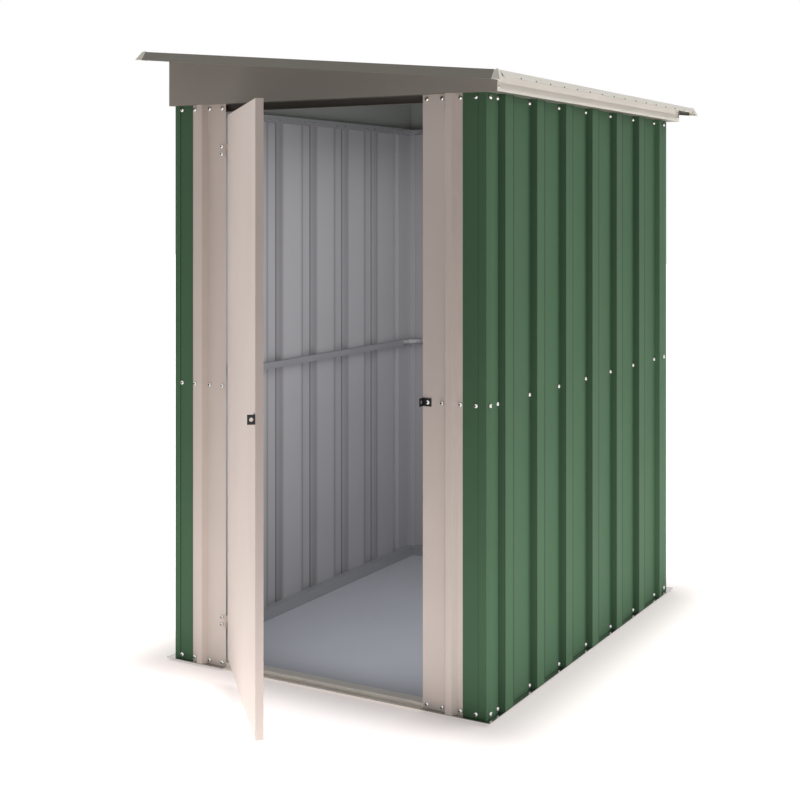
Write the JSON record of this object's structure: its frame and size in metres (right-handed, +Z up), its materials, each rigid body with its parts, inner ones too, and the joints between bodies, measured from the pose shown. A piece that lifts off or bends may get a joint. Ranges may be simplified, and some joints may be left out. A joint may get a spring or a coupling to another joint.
{
  "type": "metal tool shed",
  "caption": "Tool shed of ribbed metal sheet with a mono-pitch roof, cream trim and one hinged door that opens outwards.",
  "frame": {"origin": "centre of the wall footprint, on the ground", "axes": "+X to the right seen from the doorway, +Y from the doorway to the back wall, +Z up"},
  "size_m": [1.3051, 2.2218, 1.9749],
  "materials": {
    "green_sheet": "satin green paint outside, grey primer inside",
    "cream_sheet": "satin cream paint",
    "cream_trim": "satin cream paint",
    "roof_sheet": "satin grey paint",
    "floor": "matt blue-grey",
    "black_steel": "satin black paint",
    "bright_steel": "bright zinc plate",
    "galvanised_steel": "galvanised"
  },
  "bodies": {
    "shed": {"back_base_rail": "galvanised_steel", "back_fascia": "cream_sheet", "back_left_corner_panel": "green_sheet", "back_left_roof_cap": "cream_trim", "back_mid_rail": "galvanised_steel", "back_right_corner_panel": "green_sheet", "back_right_roof_cap": "cream_trim", "back_roof_trim": "cream_trim", "back_top_rail": "galvanised_steel", "back_wall_sheet": "green_sheet", "floor_panel": "floor", "front_fascia": "cream_sheet", "front_left_corner_panel": "green_sheet", "front_left_mid_rail": "galvanised_steel", "front_left_roof_cap": "cream_trim", "front_lintel": "galvanised_steel", "front_right_corner_panel": "green_sheet", "front_right_mid_rail": "galvanised_steel", "front_right_roof_cap": "cream_trim", "front_roof_trim": "cream_trim", "front_sill": "galvanised_steel", "jamb_padlock_eye": "black_steel", "left_base_rail": "galvanised_steel", "left_door_jamb": "cream_sheet", "left_fascia": "cream_sheet", "left_mid_rail": "galvanised_steel", "left_roof_trim": "cream_trim", "left_top_rail": "galvanised_steel", "left_wall_sheet": "green_sheet", "lower_hinge_jamb_leaf": "bright_steel", "mid_corner_joiners": "bright_steel", "right_base_rail": "galvanised_steel", "right_door_jamb": "cream_sheet", "right_fascia": "cream_sheet", "right_mid_rail": "galvanised_steel", "right_roof_trim": "cream_trim", "right_top_rail": "galvanised_steel", "right_wall_sheet": "green_sheet", "roof_sheet": "roof_sheet", "top_corner_joiners": "bright_steel", "upper_hinge_jamb_leaf": "bright_steel"},
    "door": {"door_panel": "cream_sheet", "door_braces": "galvanised_steel", "door_padlock_eye": "black_steel", "lower_hinge_door_leaf": "bright_steel", "upper_hinge_door_leaf": "bright_steel"}
  },
  "joints": [
    {"name": "door_hinge", "type": "hinge", "parent": "shed", "child": "door", "pos_m": [-0.354, -0.791, 0.9], "axis": [0, 0, -1], "range_deg": [-47, 73]}
  ]
}
